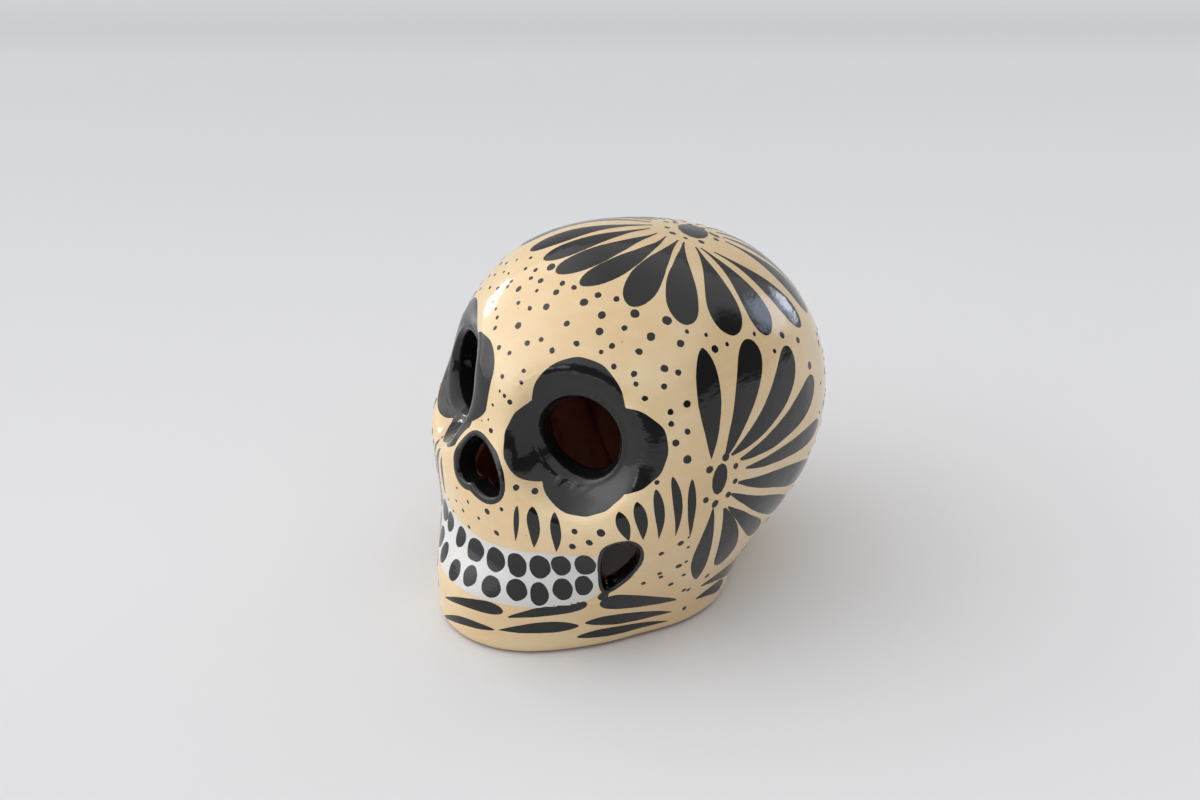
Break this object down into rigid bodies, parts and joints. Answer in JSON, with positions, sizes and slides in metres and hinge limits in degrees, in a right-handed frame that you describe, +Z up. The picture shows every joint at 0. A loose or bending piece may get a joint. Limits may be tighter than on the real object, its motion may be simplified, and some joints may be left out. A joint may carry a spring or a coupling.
{
  "type": "ceramic sugar skull",
  "caption": "Hollow glazed clay skull standing on an open foot, with pierced eyes, nose and jaw slots, and flowers, teeth and dots painted in slip.",
  "frame": {"origin": "on the floor under the middle of the skull, at the bottom centre of its box", "axes": "+Z up through the crown, the face looks along -Y, +X towards the skull's own left; the length from teeth to the back of the head lies along Y"},
  "size_m": [0.0824, 0.1008, 0.0849],
  "materials": {
    "cream_glaze": "gloss",
    "black_slip": "gloss",
    "white_slip": "gloss",
    "bare_clay": "matte"
  },
  "bodies": {
    "root": {"cranium_shell": "cream_glaze", "crown_flower_centre": "black_slip", "crown_petal_01": "black_slip", "crown_petal_02": "black_slip", "crown_petal_03": "black_slip", "crown_petal_04": "black_slip", "crown_petal_05": "black_slip", "crown_petal_06": "black_slip", "crown_petal_07": "black_slip", "crown_petal_08": "black_slip", "crown_petal_09": "black_slip", "crown_petal_10": "black_slip", "crown_petal_11": "black_slip", "crown_petal_12": "black_slip", "crown_petal_13": "black_slip", "crown_petal_14": "black_slip", "crown_petal_15": "black_slip", "crown_petal_16": "black_slip", "crown_petal_17": "black_slip", "crown_petal_18": "black_slip", "crown_petal_19": "black_slip", "crown_petal_20": "black_slip", "eye_flower_left": "black_slip", "eye_flower_right": "black_slip", "face_shell": "cream_glaze", "jaw_slot_rim_left": "black_slip", "jaw_slot_rim_right": "black_slip", "nose_rim": "black_slip", "seam_coil": "bare_clay", "temple_flower_centre_left": "black_slip", "temple_flower_centre_right": "black_slip", "temple_petal_left_01": "black_slip", "temple_petal_left_02": "black_slip", "temple_petal_left_03": "black_slip", "temple_petal_left_04": "black_slip", "temple_petal_left_05": "black_slip", "temple_petal_left_06": "black_slip", "temple_petal_left_07": "black_slip", "temple_petal_left_08": "black_slip", "temple_petal_left_09": "black_slip", "temple_petal_left_10": "black_slip", "temple_petal_right_01": "black_slip", "temple_petal_right_02": "black_slip", "temple_petal_right_03": "black_slip", "temple_petal_right_04": "black_slip", "temple_petal_right_05": "black_slip", "temple_petal_right_06": "black_slip", "temple_petal_right_07": "black_slip", "temple_petal_right_08": "black_slip", "temple_petal_right_09": "black_slip", "temple_petal_right_10": "black_slip", "tooth_band": "white_slip"}
  },
  "joints": []
}
